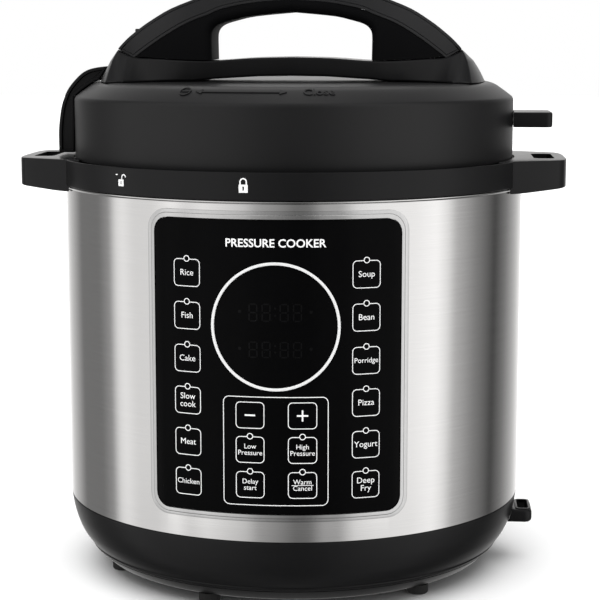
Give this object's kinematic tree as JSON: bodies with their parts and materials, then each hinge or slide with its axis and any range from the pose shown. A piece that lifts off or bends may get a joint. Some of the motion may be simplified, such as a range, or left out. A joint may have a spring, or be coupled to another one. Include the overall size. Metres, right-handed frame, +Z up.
{
  "type": "electric pressure cooker",
  "caption": "Round electric pressure cooker with a brushed steel body, black touch panel, carrying handles and a twist-lock lid with a bridge handle.",
  "frame": {"origin": "where the pot's axis meets the worktop, level with the undersides of the feet", "axes": "+Z up along the pot's axis, the control panel faces -Y, +X to the right seen from the front"},
  "size_m": [0.33, 0.3055, 0.357],
  "materials": {
    "black_plastic": "satin moulded polypropylene, fine grain",
    "handle_plastic": "satin moulded plastic",
    "panel_black": "high gloss printed membrane",
    "bezel_metal": "satin silver",
    "brushed_steel": "brushed around the body",
    "polished_steel": "polished",
    "cast_aluminium": "as cast",
    "silicone": "matt, translucent white",
    "foot_rubber": "matt",
    "clear_plastic": "clear moulded",
    "board": "green laminate",
    "brass": "plain",
    "zinc": "zinc plated",
    "white_print": "screen printed marks on the panel and the collar"
  },
  "bodies": {
    "root": {"bottom_cover": "black_plastic", "base_housing": "black_plastic", "ladle_socket": "black_plastic", "power_inlet": "black_plastic", "upper_collar": "black_plastic", "condensation_cup_bracket": "black_plastic", "pressure_switch": "black_plastic", "relay": "black_plastic", "panel_carrier": "black_plastic", "control_panel": "panel_black", "display_module": "panel_black", "panel_bezel": "bezel_metal", "steel_shell": "brushed_steel", "inner_pot": "polished_steel", "display_ring": "polished_steel", "outer_pot": "cast_aluminium", "heating_plate": "cast_aluminium", "thermal_fuse": "cast_aluminium", "pot_post_1": "cast_aluminium", "pot_post_2": "cast_aluminium", "pot_post_3": "cast_aluminium", "foot_left": "foot_rubber", "foot_front": "foot_rubber", "foot_right": "foot_rubber", "foot_rear": "foot_rubber", "ribbon_cable": "clear_plastic", "power_board": "board", "control_board": "board", "inlet_pin_live": "brass", "inlet_pin_earth": "brass", "inlet_pin_neutral": "brass", "heater_terminal_left": "brass", "heater_terminal_right": "brass", "transformer": "brass", "base_screw_1": "zinc", "base_screw_2": "zinc", "base_screw_3": "zinc", "sensor_spring": "zinc", "sensor_bracket": "zinc"},
    "seal": {"sealing_ring": "silicone"},
    "lid": {"lid_shell": "black_plastic", "lid_plate": "polished_steel", "plate_stud_1": "zinc", "plate_stud_2": "zinc", "plate_stud_3": "zinc", "ring_rack": "polished_steel", "vent_tube": "polished_steel", "anti_block_shield": "polished_steel", "float_gasket": "silicone", "handle_saddle": "black_plastic", "lid_handle_core": "black_plastic", "lid_handle_cover": "handle_plastic", "saddle_screw_left": "zinc", "saddle_screw_right": "zinc", "lid_stand_arm": "black_plastic", "lid_stand_tab": "black_plastic"},
    "steam_release": {"steam_release_handle": "black_plastic"},
    "float": {"float_valve": "polished_steel"},
    "cup": {"condensation_cup": "clear_plastic"},
    "sensor": {"temperature_sensor": "polished_steel"}
  },
  "joints": [
    {"name": "lid_lift", "type": "slide", "parent": "root", "child": "seal", "axis": [0, 0, 1], "range_m": [0, 0.15]},
    {"name": "lid_twist", "type": "hinge", "parent": "seal", "child": "lid", "pos_m": [0, 0, 0.25], "axis": [0, 0, 1], "range_deg": [-33, 0]},
    {"name": "steam_release_turn", "type": "hinge", "parent": "lid", "child": "steam_release", "pos_m": [-0.072, 0.06, 0.31], "axis": [0, 0, 1], "range_deg": [-45, 0]},
    {"name": "float_rise", "type": "slide", "parent": "lid", "child": "float", "axis": [0, 0, 1], "range_m": [0, 0.005]},
    {"name": "cup_slide", "type": "slide", "parent": "root", "child": "cup", "axis": [0, 1, 0], "range_m": [0, 0.035]},
    {"name": "sensor_press", "type": "slide", "parent": "root", "child": "sensor", "axis": [0, 0, 1], "range_m": [-0.002, 0], "stiffness_N_per_m": 300, "springref_m": 0.003, "deforming": ["sensor_spring"]}
  ]
}
